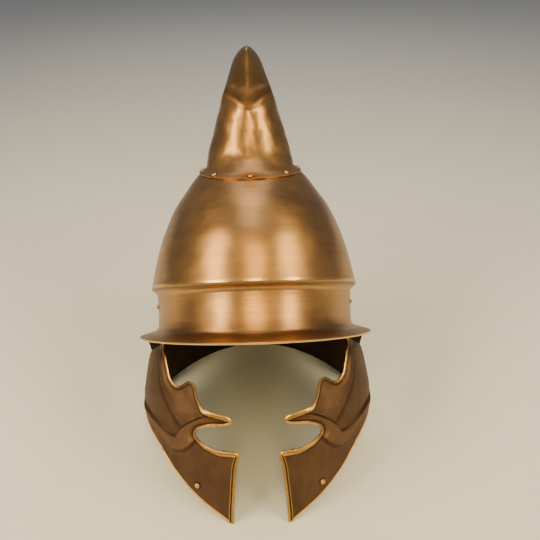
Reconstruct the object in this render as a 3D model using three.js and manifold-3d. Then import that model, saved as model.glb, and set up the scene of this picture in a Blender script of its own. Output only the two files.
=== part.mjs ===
import * as THREE from "three";
import { mergeVertices } from "three/addons/utils/BufferGeometryUtils.js";
import Module from "manifold-3d";

// Driving sizes, all in millimetres unless the name says degrees

const WALL = 1.5;
const GAP = 0.3;

const BAND_HALF_WIDTH = 101;
const BAND_HALF_DEPTH = 121;
const BAND_TOP = 44;
const BAND_FOOT = 13;
const DOME_RISE = 150;
const BRIM_HALF_WIDTH = 121;
const BRIM_HALF_DEPTH = 139;
const NAPE_DEPTH = 132;
const NAPE_HEIGHT = -18;
const RING_SIDES = 40;

const CONE_HALF_WIDTH = 46.5;
const PEAK_RISE = 120;

const HINGE_X = 94;
const HINGE_Z = 2;
const HINGE_MID_Y = -20;
const HINGE_LENGTH = 44;
const BARREL_RADIUS = 3.3;
const PIN_RADIUS = 1.5;
const KNUCKLE_TUCK = 0.28;

const CHEEK_SIDE = 118;
const CHEEK_FRONT = 104;
const CHEEK_CENTRE_Y = 4;
const CHEEK_DROP = 170;
const CHIN_SHARE = 0.841;
const CHEEK_COLUMNS = 9;
const MOUSTACHE_HEIGHT = 2.4;

const RIVET_HEAD_RADIUS = 2.6;
const RIVET_HEAD_HEIGHT = 1.7;
const RIVET_SHANK_RADIUS = 1.2;

const wasm = await Module();
wasm.setup();

const radians = THREE.MathUtils.degToRad;
const vec = (x, y, z) => new THREE.Vector3(x, y, z);
const mix = (a, b, t) => a + (b - a) * t;
const clamp = (x, a, b) => Math.min(b, Math.max(a, x));

function smooth(a, b, x) {
  const t = clamp((x - a) / (b - a), 0, 1);
  return t * t * (3 - 2 * t);
}

// Value of one column looked up by the rising values of another column, straight between rows

function lookup(table, key, column, value) {
  const last = table.length - 1;
  if (value <= table[0][key]) return table[0][column];
  if (value >= table[last][key]) return table[last][column];
  const i = table.findIndex((row) => row[key] > value) - 1;
  const t = (value - table[i][key]) / (table[i + 1][key] - table[i][key]);
  return mix(table[i][column], table[i + 1][column], t);
}

// The helmet leans until its neck guard and its chin tips touch one plane

const CHIN_REACH = CHIN_SHARE * CHEEK_FRONT - CHEEK_CENTRE_Y;
const LEAN = Math.atan2(CHEEK_DROP + NAPE_HEIGHT, NAPE_DEPTH + CHIN_REACH);

// Height of the resting plane under a place in the helmet's own frame

function floorAt(y) {
  return NAPE_HEIGHT + (y - NAPE_DEPTH) * Math.tan(LEAN);
}

// Solids from point grids

function makeSolid(points, faces) {
  const meshOf = (triangles) => new wasm.Mesh({
    numProp: 3,
    vertProperties: new Float32Array(points.flatMap((p) => [p.x, p.y, p.z])),
    triVerts: new Uint32Array(triangles.flat()),
  });
  const solid = new wasm.Manifold(meshOf(faces));
  if (solid.volume() > 0) return solid;
  return new wasm.Manifold(meshOf(faces.map(([a, b, c]) => [a, c, b])));
}

// A closed three.js geometry as a solid, without the flat triangles on a lathe's axis

function solidOf(geometry) {
  geometry.deleteAttribute("normal");
  geometry.deleteAttribute("uv");
  const merged = mergeVertices(geometry);
  const place = merged.getAttribute("position");
  const points = Array.from({ length: place.count }, (_, i) => vec(place.getX(i), place.getY(i), place.getZ(i)));
  const index = merged.index.array;
  const faces = [];
  for (let i = 0; i < index.length; i += 3) {
    const [a, b, c] = [index[i], index[i + 1], index[i + 2]];
    if (a !== b && b !== c && c !== a) faces.push([a, b, c]);
  }
  return makeSolid(points, faces);
}

// Quads between closed rings of the same count, cut into triangles

function ringFaces(count, from, to) {
  const faces = [];
  for (let i = 0; i < count; i++) {
    const j = (i + 1) % count;
    faces.push([from + i, from + j, to + j]);
    faces.push([from + i, to + j, to + i]);
  }
  return faces;
}

// A tube of rings that closes on itself, as a sheet wall open at both ends

function ringLoop(rings) {
  const count = rings[0].length;
  const faces = rings.flatMap((ring, k) => ringFaces(count, k * count, ((k + 1) % rings.length) * count));
  return makeSolid(rings.flat(), faces);
}

// A tube of rings closed by a point at each end, as a cup wall

function ringCup(first, rings, last) {
  const count = rings[0].length;
  const points = [...rings.flat(), first, last];
  const faces = [];
  for (let k = 0; k + 1 < rings.length; k++) {
    faces.push(...ringFaces(count, k * count, (k + 1) * count));
  }
  const end = (rings.length - 1) * count;
  for (let i = 0; i < count; i++) {
    const j = (i + 1) % count;
    faces.push([points.length - 2, j, i]);
    faces.push([points.length - 1, end + i, end + j]);
  }
  return makeSolid(points, faces);
}

// Outward directions of a grid of points that is closed round each row

function ringNormals(rings) {
  const count = rings[0].length;
  return rings.map((ring, k) => ring.map((point, i) => {
    const above = rings[Math.max(k - 1, 0)][i];
    const below = rings[Math.min(k + 1, rings.length - 1)][i];
    const left = ring[(i + count - 1) % count];
    const right = ring[(i + 1) % count];
    const down = below.clone().sub(above);
    const round = right.clone().sub(left);
    return down.cross(round).normalize();
  }));
}

function offsetRings(rings, normals, distance) {
  return rings.map((ring, k) => ring.map((point, i) => point.clone().addScaledVector(normals[k][i], distance)));
}

// Skull bowl

// Dome sections from the opening down to the ridge and the band, as shares of the band and of the dome rise
const SECTION = [
  { half: 0.401, frontY: -0.5, frontRise: 0.756, backY: 0.182, backRise: 1.001 },
  { half: 0.46, frontY: -0.545, frontRise: 0.733, backY: 0.236, backRise: 0.988 },
  { half: 0.528, frontY: -0.595, frontRise: 0.703, backY: 0.306, backRise: 0.967 },
  { half: 0.602, frontY: -0.64, frontRise: 0.667, backY: 0.463, backRise: 0.916 },
  { half: 0.687, frontY: -0.707, frontRise: 0.613, backY: 0.632, backRise: 0.83 },
  { half: 0.792, frontY: -0.789, frontRise: 0.533, backY: 0.773, backRise: 0.713 },
  { half: 0.867, frontY: -0.864, frontRise: 0.447, backY: 0.876, backRise: 0.587 },
  { half: 0.931, frontY: -0.93, frontRise: 0.36, backY: 0.95, backRise: 0.453 },
  { half: 0.979, frontY: -0.983, frontRise: 0.267, backY: 0.996, backRise: 0.32 },
  { half: 1.018, frontY: -1.017, frontRise: 0.173, backY: 1.021, backRise: 0.187 },
  { half: 1.046, frontY: -1.033, frontRise: 0.093, backY: 1.03, backRise: 0.087 },
  { half: 1.061, frontY: -1.041, frontRise: 0.06, backY: 1.035, backRise: 0.051 },
  { half: 1.04, frontY: -1.025, frontRise: 0.029, backY: 1.02, backRise: 0.02 },
  { half: 1, frontY: -1.002, frontRise: 0.007, backY: 1, backRise: -0.004 },
];

// The keel draws the front half of a section in to a soft edge
function sectionRing(row, count, half, frontBase, backBase, rise) {
  const ring = [];
  const keel = row.keel ?? 0;
  for (let i = 0; i < count; i++) {
    const a = (2 * Math.PI * i) / count;
    const round = Math.cos(a);
    const sharp = 1 - Math.abs(Math.sin(a));
    const back = (1 - (round > 0 ? mix(round, sharp, keel) : round)) / 2;
    const x = half * row.half * Math.sin(a);
    const y = BAND_HALF_DEPTH * mix(row.frontY, row.backY, back);
    const front = frontBase + rise * row.frontRise;
    const rear = backBase + rise * row.backRise;
    ring.push(vec(x, y, mix(front, rear, back)));
  }
  return ring;
}

function domeRing(row, count) {
  return sectionRing(row, count, BAND_HALF_WIDTH, BAND_TOP, BAND_TOP, DOME_RISE);
}

// Height of the flange's inner line at the front or at the back
function flangeHeight(column) {
  return BAND_TOP + DOME_RISE * SECTION[1][column];
}

function coneRing(row, count) {
  return sectionRing(row, count, CONE_HALF_WIDTH, flangeHeight("frontRise"), flangeHeight("backRise"), PEAK_RISE);
}

// Edge of the neck guard by angle round the bowl from the front, as shares of the named sizes
const EDGE = [
  { angle: 90, side: 1, depth: 0, height: 3.6, nape: 0 },
  { angle: 97, side: 1, depth: 0.115, height: 2.6, nape: 0.08 },
  { angle: 103, side: 0.99, depth: 0.225, height: -7, nape: 0.3 },
  { angle: 109, side: 0.972, depth: 0.335, height: -26, nape: 0.6 },
  { angle: 115, side: 0.945, depth: 0.43, height: -48, nape: 0.85 },
  { angle: 122, side: 0.905, depth: 0.515, height: -66, nape: 1 },
  { angle: 130, side: 0.84, depth: 0.6, height: -80, nape: 1 },
  { angle: 140, side: 0.72, depth: 0.706, height: -80, nape: 1 },
  { angle: 150, side: 0.573, depth: 0.8, height: -80, nape: 1 },
  { angle: 160, side: 0.4, depth: 0.88, height: -80, nape: 1 },
  { angle: 170, side: 0.204, depth: 0.933, height: -80, nape: 1 },
  { angle: 180, side: 0, depth: 0.95, height: -80, nape: 1 },
];

const BRIM_FRONT_HEIGHT = 0.6;
const BRIM_SIDE_HEIGHT = 3.6;
const EDGE_BELOW_FLOOR = 3;

function edgePoint(angle) {
  const a = Math.abs(angle);
  const turn = radians(a);
  if (a < 90) {
    const height = mix(BRIM_FRONT_HEIGHT, BRIM_SIDE_HEIGHT, 1 - Math.cos(turn));
    return vec(Math.sign(angle) * BRIM_HALF_WIDTH * Math.sin(turn), -BRIM_HALF_DEPTH * Math.cos(turn), height);
  }
  const side = lookup(EDGE, "angle", "side", a);
  const depth = lookup(EDGE, "angle", "depth", a);
  const y = BRIM_HALF_DEPTH * depth;
  const height = lookup(EDGE, "angle", "height", a);
  const z = Math.max(height, floorAt(y) - EDGE_BELOW_FLOOR);
  return vec(Math.sign(angle) * BRIM_HALF_WIDTH * side, y, z);
}

// Rows from the band foot out to the edge: shares of the way out and down, for brim and for neck guard
const SKIRT = [
  { brimOut: 0, brimDown: 0, napeOut: 0, napeDown: 0 },
  { brimOut: 0.1, brimDown: 0.38, napeOut: 0.1, napeDown: 0.22 },
  { brimOut: 0.5, brimDown: 0.66, napeOut: 0.42, napeDown: 0.6 },
  { brimOut: 1, brimDown: 1, napeOut: 1, napeDown: 1 },
];

function skirtRing(row, count) {
  const ring = [];
  for (let i = 0; i < count; i++) {
    const a = (2 * Math.PI * i) / count;
    let degrees = THREE.MathUtils.radToDeg(a);
    if (degrees > 180) degrees -= 360;
    const foot = vec(BAND_HALF_WIDTH * Math.sin(a), -BAND_HALF_DEPTH * Math.cos(a), BAND_FOOT);
    const edge = edgePoint(degrees);
    const nape = lookup(EDGE, "angle", "nape", Math.abs(degrees));
    const out = mix(row.brimOut, row.napeOut, nape);
    const down = mix(row.brimDown, row.napeDown, nape);
    ring.push(vec(mix(foot.x, edge.x, out), mix(foot.y, edge.y, out), mix(foot.z, edge.z, down)));
  }
  return ring;
}

function skullRings(count) {
  const upper = SECTION.map((row) => domeRing(row, count));
  const lower = SKIRT.map((row) => skirtRing(row, count));
  return [...upper, ...lower];
}

function skullWall() {
  const outer = skullRings(RING_SIDES);
  const inner = offsetRings(outer, ringNormals(outer), -WALL);
  return ringLoop([...outer, ...inner.reverse()]);
}

// Apex cone

// Sections from the flange up to the tip of the peak, as shares of the cone, the band and the peak rise
const CONE = [
  { half: 0.972, frontY: -0.517, frontRise: 0.045, backY: 0.244, backRise: 0.033, keel: 0 },
  { half: 0.959, frontY: -0.463, frontRise: 0.121, backY: 0.273, backRise: 0.107, keel: 0 },
  { half: 0.912, frontY: -0.409, frontRise: 0.225, backY: 0.293, backRise: 0.207, keel: 0 },
  { half: 0.832, frontY: -0.372, frontRise: 0.35, backY: 0.289, backRise: 0.323, keel: 0 },
  { half: 0.731, frontY: -0.355, frontRise: 0.5, backY: 0.26, backRise: 0.448, keel: 0 },
  { half: 0.624, frontY: -0.397, frontRise: 0.629, backY: 0.211, backRise: 0.565, keel: 0.1 },
  { half: 0.563, frontY: -0.463, frontRise: 0.675, backY: 0.182, backRise: 0.623, keel: 0.3 },
  { half: 0.512, frontY: -0.525, frontRise: 0.721, backY: 0.149, backRise: 0.673, keel: 0.4 },
  { half: 0.426, frontY: -0.573, frontRise: 0.817, backY: 0.087, backRise: 0.743, keel: 0.4 },
  { half: 0.335, frontY: -0.558, frontRise: 0.938, backY: 0, backRise: 0.803, keel: 0.35 },
  { half: 0.258, frontY: -0.517, frontRise: 1.012, backY: -0.066, backRise: 0.832, keel: 0.3 },
  { half: 0.168, frontY: -0.45, frontRise: 1.079, backY: -0.14, backRise: 0.848, keel: 0.2 },
  { half: 0.082, frontY: -0.38, frontRise: 1.123, backY: -0.215, backRise: 0.85, keel: 0.1 },
];

const CONE_TIP = vec(0, -0.306 * BAND_HALF_DEPTH, flangeHeight("backRise") + 0.842 * PEAK_RISE);

// The flange rides on the dome, a gap above it, so it is made of the dome's own first sections
function flangeRings(distance) {
  const rings = SECTION.slice(0, 4).map((row) => domeRing(row, RING_SIDES));
  return offsetRings(rings, ringNormals(rings), distance);
}

function mixRing(a, b, t) {
  return a.map((p, i) => p.clone().lerp(b[i], t));
}

function coneWall() {
  const under = flangeRings(GAP);
  const over = flangeRings(GAP + WALL);
  const walls = CONE.map((row) => coneRing(row, RING_SIDES));
  const whole = [...walls].reverse();
  const normals = ringNormals(whole);
  const inside = offsetRings(whole, normals, -WALL);
  const lipOver = mixRing(over[1], over[2], 0.78);
  const lipUnder = mixRing(under[1], under[2], 0.78);
  const outer = [...whole, over[1], lipOver];
  const inner = [...inside, under[1], lipUnder];
  const innerTip = CONE_TIP.clone().add(vec(0, -0.3, -WALL));
  return ringCup(CONE_TIP, [...outer, ...inner.reverse()], innerTip);
}

// Rivets, each with a round head outside, a shank and a flat head inside

// Turned about +Z from a profile of radius and height that starts and ends on the axis
function lathe(profile, sides) {
  const line = profile.map(([r, z]) => new THREE.Vector2(r, z));
  return solidOf(new THREE.LatheGeometry(line, sides).rotateX(Math.PI / 2));
}

// The seat is the outer surface at zero, and the sheets under it are as deep as named
function rivetSolid(depth, headRadius) {
  const r = headRadius;
  const h = RIVET_HEAD_HEIGHT;
  const s = RIVET_SHANK_RADIUS;
  const foot = -depth - GAP;
  return lathe([
    [0, foot - 1],
    [r * 0.8, foot - 1],
    [r * 0.8, foot],
    [s, foot],
    [s, GAP],
    [r, GAP],
    [r * 0.72, GAP + h * 0.72],
    [0, GAP + h],
  ], 8);
}

function holeSolid(depth) {
  const r = RIVET_SHANK_RADIUS + GAP;
  return lathe([[0, -depth], [r, -depth], [r, depth], [0, depth]], 8);
}

// Moves a solid made along +Z so that its +Z follows the direction named

function place(solid, point, direction) {
  const turn = new THREE.Quaternion().setFromUnitVectors(vec(0, 0, 1), direction.clone().normalize());
  const matrix = new THREE.Matrix4().compose(point, turn, vec(1, 1, 1));
  return solid.transform(matrix.elements);
}

// Place and outward direction on the flange at an angle round the cone

const APEX_RIVET_ANGLES = [0, 46, 90, 134, 180, 226, 270, 314];

function flangeSeat(degrees) {
  const over = flangeRings(GAP + WALL);
  const t = (degrees / 360) * RING_SIDES;
  const i = Math.floor(t) % RING_SIDES;
  const j = (i + 1) % RING_SIDES;
  const pick = (ring) => ring[i].clone().lerp(ring[j], t - Math.floor(t));
  const a = pick(over[1]);
  const b = pick(over[2]);
  const point = a.clone().lerp(b, 0.3);
  const round = over[1][j].clone().sub(over[1][i]);
  const down = b.clone().sub(a);
  return { point, direction: down.cross(round).normalize() };
}

// Place and outward direction on the outside of the band at one place along its side

function bandSeat(y, z, side) {
  const share = y / BAND_HALF_DEPTH;
  const x = side * BAND_HALF_WIDTH * Math.sqrt(1 - share * share);
  const direction = vec(x / BAND_HALF_WIDTH ** 2, y / BAND_HALF_DEPTH ** 2, 0).normalize();
  return { point: vec(x, y, z), direction };
}

// Cheek pieces, modelled for the wearer's left and mirrored

// Share of the plan oval by depth below the brim, as shares of the cheek drop
const CHEEK_SWELL = [
  { depth: -0.059, share: 0.88 },
  { depth: 0, share: 0.905 },
  { depth: 0.059, share: 0.94 },
  { depth: 0.129, share: 0.967 },
  { depth: 0.218, share: 0.99 },
  { depth: 0.306, share: 1.01 },
  { depth: 0.382, share: 1.012 },
  { depth: 0.459, share: 1 },
  { depth: 0.529, share: 0.994 },
  { depth: 0.706, share: 0.968 },
  { depth: 0.882, share: 0.905 },
  { depth: 1.029, share: 0.85 },
];

// Rows of the plate from hinge to chin: front and back edge as angle round from the nose, and height
const CHEEK = [
  { front: 64, frontDrop: 0, back: 91, backDrop: 0 },
  { front: 60, frontDrop: 0.047, back: 92.5, backDrop: 0.047 },
  { front: 55.2, frontDrop: 0.094, back: 94.5, backDrop: 0.094 },
  { front: 51.2, frontDrop: 0.15, back: 96, backDrop: 0.153 },
  { front: 48.2, frontDrop: 0.199, back: 97, backDrop: 0.206 },
  { front: 44.6, frontDrop: 0.232, back: 97.5, backDrop: 0.247 },
  { front: 40.8, frontDrop: 0.239, back: 97.7, backDrop: 0.276 },
  { front: 36.6, frontDrop: 0.214, back: 97.5, backDrop: 0.3 },
  { front: 34, frontDrop: 0.216, back: 97, backDrop: 0.324 },
  { front: 32, frontDrop: 0.24, back: 96, backDrop: 0.347 },
  { front: 30.7, frontDrop: 0.285, back: 94, backDrop: 0.371 },
  { front: 29.2, frontDrop: 0.326, back: 91, backDrop: 0.394 },
  { front: 27, frontDrop: 0.361, back: 87, backDrop: 0.415 },
  { front: 22, frontDrop: 0.378, back: 83, backDrop: 0.435 },
  { front: 15, frontDrop: 0.397, back: 79.5, backDrop: 0.453 },
  { front: 13, frontDrop: 0.424, back: 76, backDrop: 0.474 },
  { front: 15.5, frontDrop: 0.446, back: 73, backDrop: 0.491 },
  { front: 24.2, frontDrop: 0.452, back: 70, backDrop: 0.509 },
  { front: 30.5, frontDrop: 0.471, back: 67.3, backDrop: 0.526 },
  { front: 32.4, frontDrop: 0.499, back: 65, backDrop: 0.544 },
  { front: 31, frontDrop: 0.526, back: 62.6, backDrop: 0.565 },
  { front: 27, frontDrop: 0.556, back: 60, backDrop: 0.588 },
  { front: 20, frontDrop: 0.582, back: 57.8, backDrop: 0.612 },
  { front: 10.4, frontDrop: 0.596, back: 55.5, backDrop: 0.638 },
  { front: 11.6, frontDrop: 0.671, back: 50.5, backDrop: 0.697 },
  { front: 12.6, frontDrop: 0.741, back: 45.5, backDrop: 0.759 },
  { front: 13.6, frontDrop: 0.812, back: 40, backDrop: 0.821 },
  { front: 14.6, frontDrop: 0.876, back: 33.5, backDrop: 0.879 },
  { front: 15.4, frontDrop: 0.929, back: 26.5, backDrop: 0.932 },
  { front: 15.9, frontDrop: 0.976, back: 21.5, backDrop: 0.976 },
  { front: 16.2, frontDrop: 1.024, back: 18.5, backDrop: 1.024 },
];

// Middle line of the raised moustache by angle round from the nose, and its half width
const MOUSTACHE = [
  { angle: 10, drop: 0.421, half: 3 },
  { angle: 20, drop: 0.421, half: 4 },
  { angle: 28, drop: 0.432, half: 6 },
  { angle: 34, drop: 0.468, half: 7.5 },
  { angle: 39, drop: 0.512, half: 8.5 },
  { angle: 44, drop: 0.535, half: 9 },
  { angle: 50, drop: 0.524, half: 9 },
  { angle: 56, drop: 0.494, half: 9 },
  { angle: 63, drop: 0.453, half: 9 },
  { angle: 72, drop: 0.412, half: 9 },
];

function cheekRadius(angle, z) {
  const a = radians(angle);
  const swell = lookup(CHEEK_SWELL, "depth", "share", -z / CHEEK_DROP);
  return swell / Math.hypot(Math.sin(a) / CHEEK_SIDE, Math.cos(a) / CHEEK_FRONT);
}

function cheekRelief(angle, z) {
  const middle = -CHEEK_DROP * lookup(MOUSTACHE, "angle", "drop", angle);
  const half = lookup(MOUSTACHE, "angle", "half", angle);
  const away = Math.abs(z - middle);
  const fade = 1 - smooth(66, 76, angle);
  return MOUSTACHE_HEIGHT * fade * (1 - smooth(half - 3, half + 2.5, away));
}

function cheekPoint(angle, z, share) {
  const a = radians(angle);
  const r = cheekRadius(angle, z) + cheekRelief(angle, z);
  const point = vec(r * Math.sin(a), CHEEK_CENTRE_Y - r * Math.cos(a), z);
  const start = HINGE_MID_Y - HINGE_LENGTH / 2;
  const hinge = vec(HINGE_X + 0.9, start + share * HINGE_LENGTH, z);
  return hinge.lerp(point, smooth(1, 17, HINGE_Z - z));
}

// The plate's top edge tucks into the knuckle, whatever the drop of the cheek
function cheekHeight(row, share) {
  const top = HINGE_Z - BARREL_RADIUS + KNUCKLE_TUCK;
  return Math.min(top, -CHEEK_DROP * mix(row.frontDrop, row.backDrop, share));
}

function cheekGrid() {
  return CHEEK.map((row) => {
    const points = [];
    for (let c = 0; c <= CHEEK_COLUMNS; c++) {
      const share = c / CHEEK_COLUMNS;
      points.push(cheekPoint(mix(row.front, row.back, share), cheekHeight(row, share), share));
    }
    return points;
  });
}

// A sheet from an open grid of points, as thick as the wall, inward of the grid

function sheetSolid(grid) {
  const rows = grid.length;
  const columns = grid[0].length;
  const normalAt = (r, c) => {
    const up = grid[Math.max(r - 1, 0)][c];
    const down = grid[Math.min(r + 1, rows - 1)][c];
    const left = grid[r][Math.max(c - 1, 0)];
    const right = grid[r][Math.min(c + 1, columns - 1)];
    return down.clone().sub(up).cross(right.clone().sub(left)).normalize();
  };
  const outer = grid.flat();
  const inner = grid.flatMap((row, r) => row.map((p, c) => p.clone().addScaledVector(normalAt(r, c), -WALL)));
  const base = outer.length;
  const at = (r, c) => r * columns + c;
  const faces = [];
  for (let r = 0; r + 1 < rows; r++) {
    for (let c = 0; c + 1 < columns; c++) {
      const [p, q, s, t] = [at(r, c), at(r, c + 1), at(r + 1, c + 1), at(r + 1, c)];
      faces.push([p, s, q]);
      faces.push([p, t, s]);
      faces.push([base + p, base + q, base + s]);
      faces.push([base + p, base + s, base + t]);
    }
  }
  const border = [];
  for (let c = 0; c + 1 < columns; c++) border.push([at(0, c), at(0, c + 1)]);
  for (let r = 0; r + 1 < rows; r++) border.push([at(r, columns - 1), at(r + 1, columns - 1)]);
  for (let c = columns - 1; c > 0; c--) border.push([at(rows - 1, c), at(rows - 1, c - 1)]);
  for (let r = rows - 1; r > 0; r--) border.push([at(r, 0), at(r - 1, 0)]);
  for (const [p, q] of border) {
    faces.push([p, q, base + q]);
    faces.push([p, base + q, base + p]);
  }
  return makeSolid([...outer, ...inner], faces);
}

// Hinge parts on the wearer's left, along Y

function rod(radius, from, to, sides) {
  const bar = new THREE.CylinderGeometry(radius, radius, to - from, sides);
  return solidOf(bar.translate(HINGE_X, (from + to) / 2, HINGE_Z));
}

const HINGE_START = HINGE_MID_Y - HINGE_LENGTH / 2;
const HINGE_END = HINGE_MID_Y + HINGE_LENGTH / 2;
const KNUCKLE = HINGE_LENGTH * 0.27;
const KNUCKLE_START = HINGE_START + KNUCKLE;
const KNUCKLE_END = HINGE_END - KNUCKLE;
const BARREL_SIDES = 16;

function pinSolid() {
  const head = PIN_RADIUS + 0.9;
  const bar = rod(PIN_RADIUS, HINGE_START - GAP - 1.2, HINGE_END + GAP + 1.2, 12);
  const front = rod(head, HINGE_START - GAP - 1.6, HINGE_START - GAP, 12);
  const back = rod(head, HINGE_END + GAP, HINGE_END + GAP + 1.6, 12);
  return bar.add(front).add(back);
}

function boxSolid(from, to) {
  const size = to.clone().sub(from);
  const middle = to.clone().add(from).multiplyScalar(0.5);
  return solidOf(new THREE.BoxGeometry(size.x, size.y, size.z).translate(middle.x, middle.y, middle.z));
}

// How far the band's flats lie inside its true curve
const BAND_FLAT = BAND_HALF_WIDTH * (1 - Math.cos(Math.PI / RING_SIDES));

// The leaf hugs the inside of the band, and its foot runs down into the outer knuckles
const LEAF_COLUMNS = 6;
const LEAF_TOP = BAND_TOP - 4;
const LEAF_FOOT = BAND_FOOT - 1;

function leafSolid() {
  const inset = WALL + GAP + BAND_FLAT;
  const grid = [LEAF_TOP, LEAF_FOOT, HINGE_Z + 1.6].map((z, k) => {
    const row = [];
    for (let c = 0; c <= LEAF_COLUMNS; c++) {
      const y = mix(HINGE_START, HINGE_END, c / LEAF_COLUMNS);
      const share = y / (BAND_HALF_DEPTH - inset);
      const wall = (BAND_HALF_WIDTH - inset) * Math.sqrt(1 - share * share);
      row.push(vec(k === 2 ? HINGE_X + 1 : wall, y, z));
    }
    return row;
  });
  const notch = boxSolid(vec(HINGE_X - 12, KNUCKLE_START - GAP, HINGE_Z - 9), vec(HINGE_X + 12, KNUCKLE_END + GAP, HINGE_Z + 5.6));
  const plate = sheetSolid(grid).subtract(notch);
  const front = rod(BARREL_RADIUS, HINGE_START, KNUCKLE_START - GAP, BARREL_SIDES);
  const back = rod(BARREL_RADIUS, KNUCKLE_END + GAP, HINGE_END, BARREL_SIDES);
  const bore = rod(PIN_RADIUS + GAP, HINGE_START - 1, HINGE_END + 1, 12);
  return plate.add(front).add(back).subtract(bore);
}

function cheekSolid() {
  const clear = BARREL_RADIUS + 0.7;
  const front = rod(clear, HINGE_START - 6, KNUCKLE_START, BARREL_SIDES);
  const back = rod(clear, KNUCKLE_END, HINGE_END + 6, BARREL_SIDES);
  const knuckle = rod(BARREL_RADIUS, KNUCKLE_START, KNUCKLE_END, BARREL_SIDES);
  const bore = rod(PIN_RADIUS + GAP, HINGE_START - 1, HINGE_END + 1, 12);
  return sheetSolid(cheekGrid()).subtract(front).subtract(back).add(knuckle).subtract(bore);
}

// Everything below the resting plane comes off

function floorCut() {
  const size = 600;
  const block = solidOf(new THREE.BoxGeometry(size, size, size).translate(0, 0, -size / 2));
  const turn = new THREE.Matrix4().makeRotationX(LEAN);
  turn.setPosition(0, NAPE_DEPTH, NAPE_HEIGHT);
  return block.transform(turn.elements);
}

const HINGE_RIVET_YS = [HINGE_MID_Y - 13, HINGE_MID_Y + 13];
const HINGE_RIVET_Z = 33;
const CHEEK_RIVET_ANGLE = 35;
const CHEEK_RIVET_Z = -134;

function cheekRivetSeat() {
  const p = cheekPoint(CHEEK_RIVET_ANGLE, CHEEK_RIVET_Z, 0.5);
  const q = cheekPoint(CHEEK_RIVET_ANGLE + 3, CHEEK_RIVET_Z, 0.5);
  const s = cheekPoint(CHEEK_RIVET_ANGLE, CHEEK_RIVET_Z - 4, 0.5);
  const direction = s.sub(p).cross(q.sub(p)).normalize();
  return { point: p, direction };
}

// Materials

const bronze = new THREE.MeshStandardMaterial({ name: "bronze", color: 0x9a6c3c, metalness: 0.9, roughness: 0.42 });
const patina = new THREE.MeshStandardMaterial({ name: "patina", color: 0x6e4a30, metalness: 0.8, roughness: 0.55 });
const rivetMetal = new THREE.MeshStandardMaterial({ name: "rivet_metal", color: 0xa97f4c, metalness: 0.9, roughness: 0.4 });

// Assembly, turned back to lean on the neck guard and the chin tips

const helmet = new THREE.Group();
helmet.name = "phrygian_helmet";

function addPiece(name, solid, material) {
  const mesh = solid.getMesh();
  const geometry = new THREE.BufferGeometry();
  geometry.setAttribute("position", new THREE.BufferAttribute(new Float32Array(mesh.vertProperties), 3));
  geometry.setIndex(new THREE.BufferAttribute(new Uint32Array(mesh.triVerts), 1));
  const turn = new THREE.Matrix4().makeRotationX(-LEAN);
  geometry.applyMatrix4(turn);
  const piece = new THREE.Mesh(mergeVertices(geometry), material);
  piece.name = name;
  helmet.add(piece);
}

function mirrored(solid) {
  return solid.mirror([1, 0, 0]);
}

const floorBlock = floorCut();
let skull = skullWall();
let cone = coneWall();
const apexSeats = APEX_RIVET_ANGLES.map((degrees) => flangeSeat(degrees));
for (const seat of apexSeats) {
  const hole = place(holeSolid(9), seat.point, seat.direction);
  skull = skull.subtract(hole);
  cone = cone.subtract(hole);
}

let leaf = leafSolid();
const hingeSeats = HINGE_RIVET_YS.map((y) => bandSeat(y, HINGE_RIVET_Z, 1));
for (const seat of hingeSeats) {
  const hole = place(holeSolid(8), seat.point, seat.direction);
  skull = skull.subtract(hole).subtract(mirrored(hole));
  leaf = leaf.subtract(hole);
}

const cheekSeat = cheekRivetSeat();
const cheekHole = place(holeSolid(5), cheekSeat.point, cheekSeat.direction);
const cheek = cheekSolid().subtract(cheekHole).subtract(floorBlock);
skull = skull.subtract(floorBlock);

addPiece("skull_bowl", skull, bronze);
addPiece("apex_cone", cone, bronze);
apexSeats.forEach((seat, k) => {
  const rivet = place(rivetSolid(WALL * 2 + GAP, RIVET_HEAD_RADIUS), seat.point, seat.direction);
  addPiece(`apex_rivet_${k + 1}`, rivet, rivetMetal);
});

const cheekRivet = place(rivetSolid(WALL, RIVET_HEAD_RADIUS), cheekSeat.point, cheekSeat.direction);
const hingeRivets = hingeSeats.map((seat) => place(rivetSolid(WALL * 2 + GAP + BAND_FLAT, 2.2), seat.point, seat.direction));
const pin = pinSolid();

for (const [side, turned] of [["left", (s) => s], ["right", mirrored]]) {
  addPiece(`${side}_cheek_piece`, turned(cheek), patina);
  addPiece(`${side}_cheek_rivet`, turned(cheekRivet), rivetMetal);
  addPiece(`${side}_hinge_leaf`, turned(leaf), bronze);
  addPiece(`${side}_hinge_pin`, turned(pin), rivetMetal);
  hingeRivets.forEach((rivet, k) => addPiece(`${side}_hinge_rivet_${k + 1}`, turned(rivet), rivetMetal));
}

// Origin under the middle of the whole, on the resting plane

const bounds = new THREE.Box3();
for (const piece of helmet.children) {
  piece.geometry.computeBoundingBox();
  bounds.union(piece.geometry.boundingBox);
}
const shift = vec(-(bounds.min.x + bounds.max.x) / 2, -(bounds.min.y + bounds.max.y) / 2, -bounds.min.z);
for (const piece of helmet.children) {
  piece.geometry.translate(shift.x, shift.y, shift.z);
}

export default helmet;
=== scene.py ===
# %% [markdown]
# A bronze helmet with a tall peak that curls forward, in Blender. The solid model comes in as a
# fixed frame. Each sheet of metal is then modelled again with finer dents, rims and relief, and
# every surface gets its own metal finish.

# %% Load the frame
import math

import numpy

import bmesh
import bpy
from mathutils import Matrix, Vector, kdtree, noise


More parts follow.
